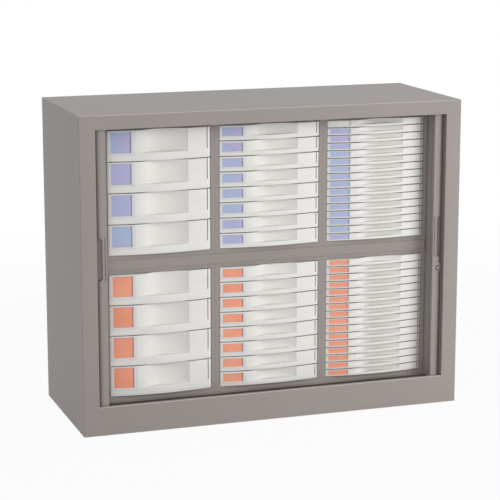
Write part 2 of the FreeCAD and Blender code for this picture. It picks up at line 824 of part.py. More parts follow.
def cabinet_nodes():
    side, upright = right_side_panel(), right_inner_upright()
    curtain = right_tambour_curtain()
    return {
        "top_panel": [top_panel()],
        "left_side_panel": [mirrored(side)],
        "right_side_panel": [side],
        "back_panel": [back_panel()],
        "base_panel": [base_panel()],
        "ceiling_panel": [ceiling_panel()],
        "plinth": [plinth()],
        "left_inner_upright": [mirrored(upright)],
        "right_inner_upright": [upright],
        "middle_shelf": [middle_shelf()],
        "shelf_brackets": shelf_brackets(),
        "drawer_casings": drawer_casings(),
        "drawer_runners": drawer_runners(),
        "curtain_tracks": curtain_tracks(),
        "left_tambour_curtain": [mirrored(piece) for piece in curtain],
        "right_tambour_curtain": curtain,
        "left_lead_bar": [left_lead_bar()],
        "right_lead_bar": [right_lead_bar()],
        "lock_barrel": [lock_barrel()],
        "lock_cam": [lock_cam()],
    }


def main():
    os.makedirs("parts", exist_ok=True)
    nodes = cabinet_nodes()
    nodes.update(drawer_nodes())
    for name, solids in nodes.items():
        shape = solids[0] if len(solids) == 1 else Part.makeCompound(solids)
        shape.translate(Vector(0, -CABINET_DEPTH / 2, 0))
        shape.exportStep(f"parts/{name}.step")
    print(len(nodes), "nodes,", sum(len(solids) for solids in nodes.values()), "solids")


main()
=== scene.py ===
import math

import bmesh
import bpy
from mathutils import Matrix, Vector


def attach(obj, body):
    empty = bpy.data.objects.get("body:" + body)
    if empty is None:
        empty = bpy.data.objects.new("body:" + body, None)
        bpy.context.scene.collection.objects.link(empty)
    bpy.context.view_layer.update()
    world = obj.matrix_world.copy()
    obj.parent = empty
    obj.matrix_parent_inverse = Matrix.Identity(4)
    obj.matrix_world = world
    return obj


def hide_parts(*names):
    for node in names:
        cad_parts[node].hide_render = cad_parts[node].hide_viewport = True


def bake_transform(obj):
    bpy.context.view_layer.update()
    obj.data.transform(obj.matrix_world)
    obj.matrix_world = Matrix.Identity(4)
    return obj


# Looks of a low steel cabinet with two open tambour doors and 56 drawers in six casings.
# Metres, +Z up, front towards -Y. Sizes given in millimetres are turned into metres by MM.

MM = 0.001
DEPTH = 475.0

# Camera at the viewing angle of the photograph, without shift
PHOTO_SIZE = 500
FOCAL_PX = 1849.3
SENSOR_MM = 36.0
CAMERA_YAW = 0.3294
CAMERA_PITCH = 0.2046
CAMERA_AT = (-1.8313, -5.3511, 1.6531)
CAMERA_SIGHT = 100.0

# Drawers, as in the solids: millimetres from the front plane, x from the column's middle
COLUMN_PITCH = 344.0
ROW_BOTTOM = {"upper": 513.05, "lower": 83.0}
BOTTOM_BORDER = 16.4
FIELD_HEIGHT = 372.85
FRONT_GAP = 1.0
DRAWER_HALF = 158.15
FRONT_END = 61.5
FRONT_BACK = 73.5
TRAY_BACK = 432.5
TRAY_WALL = 2.0
TRAY_BOTTOM = 2.1
TRAY_FLOOR = 1.8
BOW_RISE = 15.0
BOW_RADIUS = (DRAWER_HALF**2 + BOW_RISE**2) / (2 * BOW_RISE)
BOW_CENTRE_Y = FRONT_END - BOW_RISE + BOW_RADIUS
SCOOP_LEFT = 85.0 - DRAWER_HALF
SCOOP_DEEPEST = 163.0 - DRAWER_HALF
SCOOP_RIGHT = 244.0 - DRAWER_HALF
SCOOP_DEPTH = 24.0
SCOOP_LEAVING = math.radians(4.0)

# Drawer fronts, what the scene adds to the solids
EDGE_ROUND = 0.6
FRONT_WALL = 1.6
TOP_RELIEF = 1.8
HOLLOW_BACK_WALL = 0.8
HOLLOW_LEAST = 0.5
HOLLOW_SLANT = 0.1
LABEL_RECESS = 1.4
SLOT_WIDTH = 3.0
SLOT_DEPTH = 8.0
END_SLOPE = 0.35

# The lip's ledge. The rounds in front of and behind it are (at most, share of the lip's height).
# Its edges lie this far below and above the lip's height, at these shares of the finger pull's
# depth. It falls towards the finger pull, and the fall fades out upwards.
LIP_ROUND = (1.8, 0.16)
FOOT_ROUND = (1.2, 0.15)
LEDGE_HALF = 0.12
LEDGE_FRONT = 0.08
LEDGE_REAR = 0.84
LEDGE_FALL = 2.0
LEDGE_FADE = 6.0

# Points of a front's grid. A step is a jump of depth between two points this far apart.
STEP_WIDTH = 0.12
STEP_CLEAR_ACROSS = 4 * STEP_WIDTH
STEP_CLEAR_UP = 2 * STEP_WIDTH
FRONT_COLUMNS = 22
SCOOP_COLUMNS = 44
LABEL_COLUMNS = 8
ROUND_STEPS = 4
FOOT_STEPS = 5
BACK_POINTS = 6

# Trays: how far their skins reach into the front, and their softened edges
OUTER_LAP = 0.6
INNER_LAP = 0.3
RIM_SOFT = 0.5
BOTTOM_SOFT = 0.8
FLOOR_SOFT = 2.5

# Label holders and cards: how far they stand out of the bow or lie behind it. The holder's
# soft edges are (inset, drop). Right of the x given below, a card is painted dark: a painted shadow
# of the holder.
HOLDER_PROUD = 0.9
HOLDER_SUNK = 0.3
HOLDER_OUTER_SOFT = (0.5, 0.05)
HOLDER_INNER_SOFT = (0.4, 0.1)
CARD_INSET = 0.35
CARD_FACE = LABEL_RECESS - 0.45
CARD_BACK = LABEL_RECESS - 0.02
CARD_SHADOW_X = -90.0
CARD_SHADOW_SHADE = 0.5

# Side panels, as in the solids but for the stiles' inner edges, which are square here
HALF_WIDTH = 600.0
STILE_EDGE = 552.0
SIDE_HEIGHT = 953.5
SHEET = 1.5
BEND_RADIUS = 2.5
BEND_STEPS = 6
FRAME_RETURN = 12.0
FRAME_HOOK = 16.0
REAR_FLANGE = 20.0

# Bottom pan: a painted shadow darkens the band beside the doors' groove up to here, and fades out
PAN_SHADOW_UNTIL = 44.0
PAN_SHADOW_FADE = 2.0
PAN_SHADOW_SHADE = 0.15

# Painted highlight where the sheet bends from the front to the top: the span of the normal's |Y|
# times Z over which the paint pales, the greatest share of the pale colour, and that colour's
# lightness
BEND_HIGHLIGHT_SPAN = (0.1, 0.4)
BEND_HIGHLIGHT_SHARE = 0.45
BEND_HIGHLIGHT_LIGHT = 2.2

# Doors, as in the solids
BAR_OUTER = 549.5
BAR_WIDTH = 30.0
GRIP_LINE_X = 524.75
GRIP_LINE_HALF = 1.0
# painted shade in the line beside the grip, as a share of the colour
GRIP_LINE_SHADE = 0.3
GRIP_BOTTOM = 465.0
GRIP_HEIGHT = 130.0
LOCK_X = 538.0
LOCK_HEIGHT = 431.0
LOCK_RADIUS = 8.0
DOOR_TRAVEL = 519.2
DOOR_BOTTOM = 79.4
DOOR_TOP = 918.2
GROOVE_MIDDLE = 21.0
SIDE_LINE = 589.0
REAR_LINE = 461.5
CURTAIN_BEND = 39.0
SLATS = 22
SLAT_PITCH = 24.5

# Curtains: the running front is drawn through the blend between two places on the groove
RUN_START = 594.0
RUN_END = 550.0
RUN_SLATS = 23
RUN_GAP = 0.6
RUN_HALVINGS = 50
STOWED_FROM = 3

# One slat across its pitch: (share of the pitch, offset from the path outwards)
SLAT_SECTION = [
    (0.0, -0.9),
    (0.02, 1.2),
    (0.05, 2.6),
    (0.10, 3.3),
    (0.30, 3.5),
    (0.50, 3.5),
    (0.70, 3.5),
    (0.90, 3.3),
    (0.95, 2.6),
    (0.98, 1.2),
]
BACK_SECTION = [(0.0, -1.5), (0.06, -3.1), (0.12, -3.4), (0.88, -3.4), (0.94, -3.1)]

# Meshes
SMOOTH_ANGLE = math.radians(30.0)
MERGE_DISTANCE = 1e-6

# Stage, in metres; lamps are (name, place, size, power)
WORLD_LIGHT = 0.66
FLOOR_REACH = 30.0
FLOOR_LEVEL = -0.0002
FLOOR_TONES = [(0.3, (0.54, 0.54, 0.54)), (0.7, (0.56, 0.56, 0.56))]
FLOOR_WHITE_NEAR = 0.94
SHADOW_REACH = (1.3, 3.2)
LAMP_TARGET = (0.0, 0.0, 0.45)
KEY_LAMP = ("key", (3.3, -2.85, 1.6), 2.2, 111.0)
FILL_LAMP = ("fill", (-2.8, -4.4, 1.3), 2.6, 28.0)

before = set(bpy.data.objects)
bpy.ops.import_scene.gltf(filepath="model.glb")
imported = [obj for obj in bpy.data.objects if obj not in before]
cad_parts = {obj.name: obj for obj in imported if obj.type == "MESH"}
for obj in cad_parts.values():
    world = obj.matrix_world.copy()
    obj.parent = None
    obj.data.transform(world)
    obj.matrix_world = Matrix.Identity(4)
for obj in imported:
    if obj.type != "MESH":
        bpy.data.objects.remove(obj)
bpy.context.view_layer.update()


# ---- materials ----


def near(color, share):
    return tuple(channel * share for channel in color)


def opaque(color):
    return (*color, 1.0)


def shades(color, *stops):
    """Ramp stops from pairs of a place and a share of the colour."""
    return [(place, near(color, share)) for place, share in stops]


class Graph:
    """Adds nodes to a node tree. An input takes a socket or a plain value."""

    def __init__(self, tree):
        self.nodes = tree.nodes
        self.links = tree.links

    def feed(self, node, inputs):
        for key, value in inputs.items():
            if isinstance(value, bpy.types.NodeSocket):
                self.links.new(value, node.inputs[key])
            else:
                node.inputs[key].default_value = value

    def node(self, kind, inputs):
        made = self.nodes.new(kind)
        self.feed(made, inputs)
        return made

    def math(self, operation, *values):
        made = self.nodes.new("ShaderNodeMath")
        made.operation = operation
        self.feed(made, dict(enumerate(values)))
        return made.outputs[0]

    def vector_math(self, operation, *values):
        made = self.nodes.new("ShaderNodeVectorMath")
        made.operation = operation
        self.feed(made, dict(enumerate(values)))
        return made.outputs["Value" if operation == "LENGTH" else "Vector"]

    def axes(self, vector):
        return self.node("ShaderNodeSeparateXYZ", {"Vector": vector}).outputs

    def span(self, value, start, end, low=0.0, high=1.0, smooth=False):
        """Low where value is start, high where it is end, and held there beyond them."""
        places = {"From Min": start, "From Max": end, "To Min": low, "To Max": high}
        made = self.node("ShaderNodeMapRange", {"Value": value, **places})
        if smooth:
            made.interpolation_type = "SMOOTHSTEP"
        return made.outputs["Result"]

    def mix(self, share, first, second):
        """Colour between first and second."""
        made = self.nodes.new("ShaderNodeMix")
        made.data_type = "RGBA"
        self.feed(made, {"Factor": share, "A": first, "B": second})
        return made.outputs["Result"]

    def ramp(self, value, stops):
        made = self.node("ShaderNodeValToRGB", {"Fac": value})
        elements = made.color_ramp.elements
        while len(elements) < len(stops):
            elements.new(0.5)
        for element, (place, color) in zip(elements, stops):
            element.position = place
            element.color = opaque(color)
        return made.outputs["Color"]


class Shader(Graph):
    """A node material round a Principled shader."""

    def __init__(self, name, roughness, metallic=0.0, specular=0.5):
        self.material = bpy.data.materials.new(name)
        self.material.use_nodes = True
        super().__init__(self.material.node_tree)
        self.shader = self.nodes["Principled BSDF"]
        self.roughness = roughness
        shine = {"Roughness": roughness, "Metallic": metallic, "Specular IOR Level": specular}
        self.feed(self.shader, shine)
        coordinates = self.nodes.new("ShaderNodeTexCoord").outputs
        self.where = coordinates["Object"]
        self.facing = coordinates["Normal"]

    def stretched(self, scale):
        mapping = self.node("ShaderNodeMapping", {"Vector": self.where, "Scale": scale})
        return mapping.outputs["Vector"]

    def noise(self, scale, detail, at=None):
        place = self.where if at is None else at
        inputs = {"Vector": place, "Scale": scale, "Detail": detail}
        return self.node("ShaderNodeTexNoise", inputs).outputs["Fac"]

    def color(self, socket):
        self.feed(self.shader, {"Base Color": socket})

    def texture(self, value, smoother, rougher, strength, height):
        """Let a fine pattern sway the roughness and raise the surface by height metres."""
        rough = self.span(value, 0.0, 1.0, self.roughness - smoother, self.roughness + rougher)
        self.feed(self.shader, {"Roughness": rough})
        self.bump(value, strength, height)

    def bump(self, value, strength, height):
        inputs = {"Strength": strength, "Distance": height, "Height": value}
        bump = self.node("ShaderNodeBump", inputs)
        self.feed(self.shader, {"Normal": bump.outputs["Normal"]})


def painted_steel(name, color, roughness=0.48, shadow_until=None):
    """Powder coat: a faint drift of colour, a painted highlight where the sheet bends, and fine
    grain.

    With its last argument, it bears a painted shadow that far behind the front plane, beside the
    doors' groove.
    """
    made = Shader(name, roughness, specular=0.35)
    drift = made.noise(scale=2.5, detail=2.0)
    coat = made.ramp(drift, shades(color, (0.3, 0.97), (0.7, 1.03)))
    # painted highlight: paler where the normal lies between the front and the top
    normal = made.axes(made.facing)
    bend = made.math("MULTIPLY", made.math("ABSOLUTE", normal["Y"]), normal["Z"])
    painted_highlight = made.span(bend, *BEND_HIGHLIGHT_SPAN, high=BEND_HIGHLIGHT_SHARE)
    coat = made.mix(painted_highlight, coat, opaque(near(color, BEND_HIGHLIGHT_LIGHT)))
    # painted shadow beside the doors' groove: dark up to the given depth, fading out behind it
    if shadow_until:
        edge = shadow_until - DEPTH / 2
        backwards = made.axes(made.where)["Y"]
        strip = made.span(backwards, edge * MM, (edge + PAN_SHADOW_FADE) * MM)
        coat = made.mix(strip, opaque(near(color, PAN_SHADOW_SHADE)), coat)
    made.color(coat)
    grain = made.noise(scale=900.0, detail=2.0)
    made.texture(grain, smoother=0.05, rougher=0.07, strength=0.12, height=0.0004)
    return made.material


def moulded_plastic(name, color, roughness=0.34, grain=0.05):
    """Moulded plastic with a faint flow drift and a very fine satin grain."""
    made = Shader(name, roughness)
    flow = made.noise(scale=9.0, detail=2.0, at=made.stretched((1.0, 1.0, 3.0)))
    made.color(made.ramp(flow, shades(color, (0.3, 0.975), (0.7, 1.015))))
    satin = made.noise(scale=1400.0, detail=2.0)
    made.texture(satin, smoother=0.04, rougher=0.06, strength=grain, height=0.0002)
    return made.material


def card_paper(name, color, other):
    """Printed card: two close tones that drift over it, a painted shadow at its right edge, and
    paper fibres.
    """
    made = Shader(name, 0.6, specular=0.3)
    # the piece's own place makes the drift differ from card to card
    piece_at = made.nodes.new("ShaderNodeObjectInfo").outputs["Location"]
    drift = made.noise(scale=11.0, detail=1.0, at=made.vector_math("ADD", made.where, piece_at))
    tones = made.ramp(drift, [(0.35, color), (0.65, other)])
    # painted shadow of the holder's rim along the card's right edge
    at_edge = made.math("GREATER_THAN", made.axes(made.where)["X"], CARD_SHADOW_X * MM)
    made.color(made.mix(at_edge, tones, opaque(near(color, CARD_SHADOW_SHADE))))
    fibres = made.noise(scale=2600.0, detail=3.0, at=made.stretched((1.0, 1.0, 0.3)))
    made.bump(fibres, strength=0.08, height=0.0001)
    return made.material


def brushed_metal(name, color, roughness, stretch):
    """Metal with a fine grain, drawn out into streaks along an axis that stretch scales down."""
    made = Shader(name, roughness, metallic=1.0)
    streaks = made.noise(scale=500.0, detail=2.0, at=made.stretched(stretch))
    made.color(made.ramp(streaks, shades(color, (0.3, 0.9), (0.7, 1.0))))
    made.texture(streaks, smoother=0.06, rougher=0.1, strength=0.1, height=0.0001)
    return made.material


def lock_metal(name, color, roughness):
    """Turned face: a bright core, and a dark ring of painted shade where it sits in its collar."""
    made = Shader(name, roughness, metallic=1.0)
    from_axis = made.vector_math("SUBTRACT", made.where, (LOCK_X * MM, 0.0, LOCK_HEIGHT * MM))
    radial = made.vector_math("MULTIPLY", from_axis, (1.0, 0.0, 1.0))
    out = made.math("DIVIDE", made.vector_math("LENGTH", radial), LOCK_RADIUS * MM)
    # the dark ring is painted shade round the barrel
    rings = shades(color, (0.45, 1.0), (0.62, 0.12), (0.8, 0.12), (0.9, 0.5))
    made.color(made.ramp(out, rings))
    turned = made.noise(scale=700.0, detail=2.0)
    made.texture(turned, smoother=0.06, rougher=0.1, strength=0.1, height=0.0001)
    return made.material


def bar_coat(name, color, roughness):
    """The lead bars' plastic, with painted shade down the fall to the slats and in the line beside
    the grip.
    """
    made = Shader(name, roughness)
    place = made.axes(made.where)
    out = made.math("ABSOLUTE", place["X"])
    across = made.span(out, (BAR_OUTER - BAR_WIDTH) * MM, BAR_OUTER * MM)
    # painted shade: darker down the fall to the slats
    fall = made.ramp(across, shades(color, (0.45, 1.0), (0.62, 0.9), (0.8, 0.78), (1.0, 0.6)))
    grip_half = GRIP_HEIGHT / 2
    # painted shade in the line beside the grip
    line = made.math("COMPARE", out, GRIP_LINE_X * MM, GRIP_LINE_HALF * MM)
    beside = made.math("COMPARE", place["Z"], (GRIP_BOTTOM + grip_half) * MM, grip_half * MM)
    shadow = opaque(near(color, GRIP_LINE_SHADE))
    made.color(made.mix(made.math("MULTIPLY", line, beside), fall, shadow))
    satin = made.noise(scale=1400.0, detail=2.0)
    made.texture(satin, smoother=0.04, rougher=0.06, strength=0.08, height=0.0002)
    return made.material


PAINT = (0.312, 0.279, 0.262)
IVORY = (0.745, 0.733, 0.70)
INSIDE_PAINT = near(PAINT, 0.97)
paint = painted_steel("taupe_powder_coat", PAINT)
inner_paint = painted_steel("inner_powder_coat", INSIDE_PAINT, 0.5)
# the bottom pan's coat bears a painted shadow beside the doors' groove
pan_paint_with_shadow = painted_steel("bottom_pan_powder_coat", INSIDE_PAINT, 0.5, PAN_SHADOW_UNTIL)
ivory = moulded_plastic("ivory_plastic", IVORY)
holder_plastic = moulded_plastic("label_holder_plastic", (0.68, 0.675, 0.68), 0.2, 0.02)
slat_plastic = moulded_plastic("tambour_plastic", near(PAINT, 0.95), 0.45, 0.1)
bar_plastic = bar_coat("lead_bar_plastic", INSIDE_PAINT, 0.42)
track_plastic = moulded_plastic("track_plastic", (0.05, 0.045, 0.042), 0.4)
zinc = brushed_metal("zinc_coated_steel", (0.62, 0.62, 0.61), 0.4, (1.0, 0.05, 1.0))
nickel = brushed_metal("satin_nickel", (0.42, 0.40, 0.38), 0.3, (1.0, 1.0, 1.0))
lock_nickel = lock_metal("satin_nickel_lock_face", (0.5, 0.48, 0.46), 0.34)
blue_card = card_paper("blue_card", (0.45, 0.43, 0.66), (0.40, 0.48, 0.68))
orange_card = card_paper("orange_card", (0.82, 0.315, 0.205), (0.86, 0.365, 0.24))
white_card = card_paper("white_card", (0.74, 0.73, 0.70), (0.78, 0.77, 0.74))

NODE_MATERIALS = {
    "top_panel": paint,
    "plinth": paint,
    "back_panel": paint,
    "base_panel": pan_paint_with_shadow,
    "ceiling_panel": inner_paint,
    "left_inner_upright": inner_paint,
    "right_inner_upright": inner_paint,
    "middle_shelf": inner_paint,
    "shelf_brackets": inner_paint,
    "drawer_casings": inner_paint,
    "drawer_runners": zinc,
    "curtain_tracks": track_plastic,
    "left_lead_bar": bar_plastic,
    "right_lead_bar": bar_plastic,
    "lock_barrel": lock_nickel,
    "lock_cam": nickel,
}


def dress_nodes():
    for name, material in NODE_MATERIALS.items():
        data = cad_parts[name].data
        data.materials.clear()
        data.materials.append(material)


# ---- mesh helpers ----


def new_piece(name, mesh, material, body, replaced=(), at=(0.0, 0.0, 0.0)):
    piece = bpy.data.objects.new(name, mesh)
    bpy.context.scene.collection.objects.link(piece)
    if not mesh.materials:
        mesh.materials.append(material)
    piece.location = at
    if body:
        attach(piece, body)
    if replaced:
        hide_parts(*replaced)
    return piece


def to_row(x, y, z):
    """Millimetres from the front plane to metres in the row frame."""
    return (x * MM, (y - DEPTH / 2) * MM, z * MM)


def mesh_from(name, points, faces):
    mesh = bpy.data.meshes.new(name)
    mesh.from_pydata([to_row(*p) for p in points], [], faces)
    work = bmesh.new()
    work.from_mesh(mesh)
    bmesh.ops.remove_doubles(work, verts=work.verts, dist=MERGE_DISTANCE)
    bmesh.ops.recalc_face_normals(work, faces=work.faces)
    for face in work.faces:
        face.smooth = True
    for edge in work.edges:
        edge.smooth = edge.calc_face_angle(math.pi) < SMOOTH_ANGLE
    work.to_mesh(mesh)
    work.free()
    return mesh


def grid_faces(columns, rows):
    """Quads of a grid whose points are stored column by column."""
    faces = []
    for i in range(columns - 1):
        for k in range(rows - 1):
            a = i * rows + k
            faces.append((a, a + rows, a + rows + 1, a + 1))
    return faces


def prism(ring, low, high):
    """Closed form over a ring of points in plan, between two heights."""
    points = [(x, y, z) for z in (low, high) for x, y in ring]
    n = len(ring)
    faces = [(i, (i + 1) % n, n + (i + 1) % n, n + i) for i in range(n)]
    faces += [tuple(range(n)), tuple(range(2 * n - 1, n - 1, -1))]
    return points, faces


def joined(parts):
    points, faces = [], []
    for part_points, part_faces in parts:
        start = len(points)
        points += part_points
        faces += [tuple(v + start for v in face) for face in part_faces]
    return points, faces


def lifted(part, z):
    points, faces = part
    return [(x, y, pz + z) for x, y, pz in points], faces


def spread(low, high, steps):
    return [low + (high - low) * i / steps for i in range(steps + 1)]


def quarter(steps):
    """(cos, sin) pairs along a quarter turn."""
    return [(math.cos(turn), math.sin(turn)) for turn in spread(0.0, math.pi / 2, steps)]


# ---- side panels ----


def make_side_panels():
    """Side walls with their stiles, whose faces run on into the rail and the plinth."""
    outer = [
        (STILE_EDGE + FRAME_HOOK, FRAME_RETURN),
        (STILE_EDGE, FRAME_RETURN),
        (STILE_EDGE, 0.0),
    ]
    for c, s in quarter(BEND_STEPS):
        outer.append((HALF_WIDTH - BEND_RADIUS * (1 - s), BEND_RADIUS * (1 - c)))
    outer += [(HALF_WIDTH, DEPTH), (HALF_WIDTH - REAR_FLANGE, DEPTH)]
    inner = [
        (HALF_WIDTH - REAR_FLANGE, DEPTH - SHEET),
        (HALF_WIDTH - SHEET, DEPTH - SHEET),
        (HALF_WIDTH - SHEET, SHEET),
        (STILE_EDGE + SHEET, SHEET),
        (STILE_EDGE + SHEET, FRAME_RETURN - SHEET),
        (STILE_EDGE + FRAME_HOOK, FRAME_RETURN - SHEET),
    ]
    for side, sign in (("right", 1.0), ("left", -1.0)):
        name = f"{side}_side_sheet"
        ring = [(sign * x, y) for x, y in outer + inner]
        mesh = mesh_from(name, *prism(ring, 0.0, SIDE_HEIGHT))
        new_piece(name, mesh, paint, "cabinet", [f"{side}_side_panel"])


# ---- drawers ----


class Kind:
    """Measures of one kind of drawer, from its lower edge upwards."""

    def __init__(self, name, rows, per_node, lip, tray_drop, label, rim, slot, hollow):
        self.name = name
        self.rows = rows
        self.per_node = per_node
        self.lip = lip
        self.hollow = hollow
        self.rim = rim
        self.pitch = FIELD_HEIGHT / rows
        self.height = self.pitch - FRONT_GAP
        self.tray_top = self.height - tray_drop
        left, width, from_top, tall = label
        self.label_x = (left - DRAWER_HALF, left + width - DRAWER_HALF)
        self.label_z = (self.height - from_top - tall, self.height - from_top)
        slot_inset, slot_from = slot
        slot_middle = DRAWER_HALF - slot_inset
        self.slot_x = (slot_middle - SLOT_WIDTH / 2, slot_middle + SLOT_WIDTH / 2)
        self.slot_low = self.height * slot_from


# label (left, width, from the top, height), holder's rim (left, right, up, down),
# slot (inset, share of the height below it), depth of the hollow behind the top edge
KINDS = [
    Kind(
        "large", rows=4, per_node=1, lip=24.0, tray_drop=8.0, label=(10.0, 60.0, 5.8, 62.5),
        rim=(6.5, 10.0, 3.6, 7.0), slot=(11.0, 0.3), hollow=10.0,
    ),
    Kind(
        "medium", rows=8, per_node=1, lip=13.0, tray_drop=6.0, label=(8.0, 62.0, 6.5, 26.0),
        rim=(6.5, 8.5, 3.6, 5.0), slot=(8.5, 0.2), hollow=8.0,
    ),
    Kind(
        "slim", rows=16, per_node=2, lip=7.5, tray_drop=4.0, label=(8.0, 61.5, 3.5, 15.0),
        rim=(3.0, 5.0, 1.4, 1.6), slot=(7.8, 0.15), hollow=7.0,
    ),
]


def bow_y(x):
    return BOW_CENTRE_Y - math.sqrt(BOW_RADIUS**2 - x * x)


def scoop_line():
    """Arcs of the finger pull in plan, as (centre, radius, up to x, side of the centre)."""
    start = Vector((SCOOP_LEFT, bow_y(SCOOP_LEFT)))
    deepest = Vector((SCOOP_DEEPEST, bow_y(SCOOP_DEEPEST) + SCOOP_DEPTH))
    end = Vector((SCOOP_RIGHT, bow_y(SCOOP_RIGHT)))
    to_centre = (Vector((0.0, BOW_CENTRE_Y)) - start).normalized()
    cos, sin = math.cos(SCOOP_LEAVING), math.sin(SCOOP_LEAVING)
    normal = Vector((to_centre.x * cos - to_centre.y * sin, to_centre.x * sin + to_centre.y * cos))
    back = Vector((0.0, 1.0))
    gap = start - deepest
    # two equal arcs that touch: their radius solves square * r^2 + middle * r + gap^2 = 0
    square = 2 * normal.dot(back) - 2
    middle = 2 * gap.dot(normal + back)
    radius = 2 * gap.dot(gap) / (math.sqrt(middle**2 - 4 * square * gap.dot(gap)) - middle)
    first, second = start + normal * radius, deepest - back * radius
    across, rise = end.x - deepest.x, deepest.y - end.y
    last_radius = (across**2 + rise**2) / (2 * rise)
    last = deepest - back * last_radius
    return [
        (first, radius, (first.x + second.x) / 2, -1.0),
        (second, radius, deepest.x, 1.0),
        (last, last_radius, end.x, 1.0),
    ]


SCOOP = scoop_line()


def scoop_depth(x):
    """How far the finger pull lies behind the bow."""
    if not SCOOP_LEFT < x < SCOOP_RIGHT:
        return 0.0
    for centre, radius, until, side in SCOOP:
        if x <= until:
            y = centre.y + side * math.sqrt(max(radius**2 - (x - centre.x) ** 2, 0.0))
            return max(y - bow_y(x), 0.0)
    return 0.0


def both_sides(step):
    """The two points between which the depth jumps."""
    return (step - STEP_WIDTH / 2, step + STEP_WIDTH / 2)


def front_columns(kind):
    """Places across the front between its rounded ends."""
    xs = set(spread(EDGE_ROUND - DRAWER_HALF, DRAWER_HALF - EDGE_ROUND, FRONT_COLUMNS))
    xs |= set(spread(SCOOP_LEFT, SCOOP_RIGHT, SCOOP_COLUMNS))
    steps = [*kind.label_x, *kind.slot_x, FRONT_WALL - DRAWER_HALF, DRAWER_HALF - FRONT_WALL]
    xs = {x for x in xs if all(abs(x - s) > STEP_CLEAR_ACROSS for s in steps)}
    for s in steps:
        xs |= set(both_sides(s))
    return sorted(xs)


def front_y(kind, x, back, share, z):
    """Where the face lies, with share of the finger pull's depth, set back by back."""
    y = bow_y(min(max(x, -DRAWER_HALF), DRAWER_HALF)) + back + share * scoop_depth(x)
    if kind.label_x[0] < x < kind.label_x[1] and kind.label_z[0] < z < kind.label_z[1]:
        y += LABEL_RECESS
    if kind.slot_x[0] < x < kind.slot_x[1] and kind.slot_low < z:
        y += SLOT_DEPTH
    if x > kind.slot_x[1]:
        y += END_SLOPE * (x - kind.slot_x[1])
    return y


def profile(kind):
    """Up the front: (z, set back at the rounded edges, share of the finger pull's depth)."""
    lip = kind.lip
    lip_round = min(LIP_ROUND[0], lip * LIP_ROUND[1])
    foot_round = min(FOOT_ROUND[0], lip * FOOT_ROUND[1])
    top = kind.height - TOP_RELIEF - EDGE_ROUND
    points = []
    for c, s in quarter(ROUND_STEPS):
        points.append((EDGE_ROUND * (1 - c), EDGE_ROUND * (1 - s), 0.0))
    points.append((lip / 2, 0.0, 0.0))
    for c, s in quarter(ROUND_STEPS):
        z = lip - lip_round + (lip_round - LEDGE_HALF) * s
        points.append((z, 0.0, LEDGE_FRONT * (1 - c)))
    for c, s in quarter(FOOT_STEPS):
        z = lip + LEDGE_HALF + foot_round * (1 - c)
        points.append((z, 0.0, LEDGE_REAR + (1 - LEDGE_REAR) * s))
    points.append(((lip + foot_round + top) / 2, 0.0, 1.0))
    for c, s in quarter(ROUND_STEPS):
        points.append((top + EDGE_ROUND * s, EDGE_ROUND * (1 - c), 1.0))

    def share_at(z):
        for (z0, _, s0), (z1, _, s1) in zip(points, points[1:]):
            if z0 <= z <= z1 and z1 > z0:
                return s0 + (s1 - s0) * (z - z0) / (z1 - z0)
        return 1.0

    steps = [*kind.label_z, kind.slot_low]
    rows = []
    for z, back, share in points:
        near_step = any(abs(z - s) < STEP_CLEAR_UP for s in steps)
        at_edge = z < EDGE_ROUND or z > top
        if at_edge or not near_step:
            rows.append((z, back, share))
    for s in steps:
        rows += [(z, 0.0, share_at(z)) for z in both_sides(s)]
    return sorted(rows, key=lambda row: row[0])


def front_block(kind):
    """Closed front of a drawer: a grid over its face, a hollow behind its top edge, a flat back."""
    rounded = quarter(ROUND_STEPS)[:-1]
    ends = [(EDGE_ROUND * (1 - c), EDGE_ROUND * (1 - s)) for c, s in rounded]
    across = [(inward - DRAWER_HALF, back) for inward, back in ends]
    across += [(x, 0.0) for x in front_columns(kind)]
    across += [(DRAWER_HALF - inward, back) for inward, back in reversed(ends)]
    rows = profile(kind)
    points = []
    for x, end_back in across:
        for z, edge_back, share in rows:
            fall = LEDGE_FALL * share * scoop_depth(x) / SCOOP_DEPTH
            near_ledge = max(1.0 - max(z - kind.lip, 0.0) / LEDGE_FADE, 0.0)
            y = front_y(kind, x, math.hypot(end_back, edge_back), share, z)
            points.append((x, y, z - fall * near_ledge))
    count = len(rows)
    faces = grid_faces(len(across), count)
    start = len(points)
    crown = rows[-1][0]
    behind = FRONT_BACK - HOLLOW_BACK_WALL
    for i, (x, _) in enumerate(across):
        inside = min(points[i * count + count - 1][1] + FRONT_WALL, behind - HOLLOW_LEAST)
        floor = crown - (kind.hollow if abs(x) < DRAWER_HALF - FRONT_WALL else 0.0)
        points += [
            (x, inside, crown),
            (x, inside + HOLLOW_SLANT, floor),
            (x, behind, floor),
            (x, behind, crown),
            (x, FRONT_BACK, crown),
            (x, FRONT_BACK, 0.0),
        ]

    def back_line(i):
        """Column i from the top of its face through the hollow and down the back to its foot."""
        added = [start + BACK_POINTS * i + k for k in range(BACK_POINTS)]
        return [i * count + count - 1] + added + [i * count]

    last = len(across) - 1
    for i in range(last):
        here, after = back_line(i), back_line(i + 1)
        for k in range(len(here) - 1):
            faces.append((here[k], after[k], after[k + 1], here[k + 1]))
    for i in (0, last):
        face_line = [i * count + k for k in range(count)]
        faces.append(tuple(face_line + back_line(i)[BACK_POINTS - 1 : BACK_POINTS + 1]))
        faces.append(tuple(back_line(i)[:BACK_POINTS]))
    return points, faces


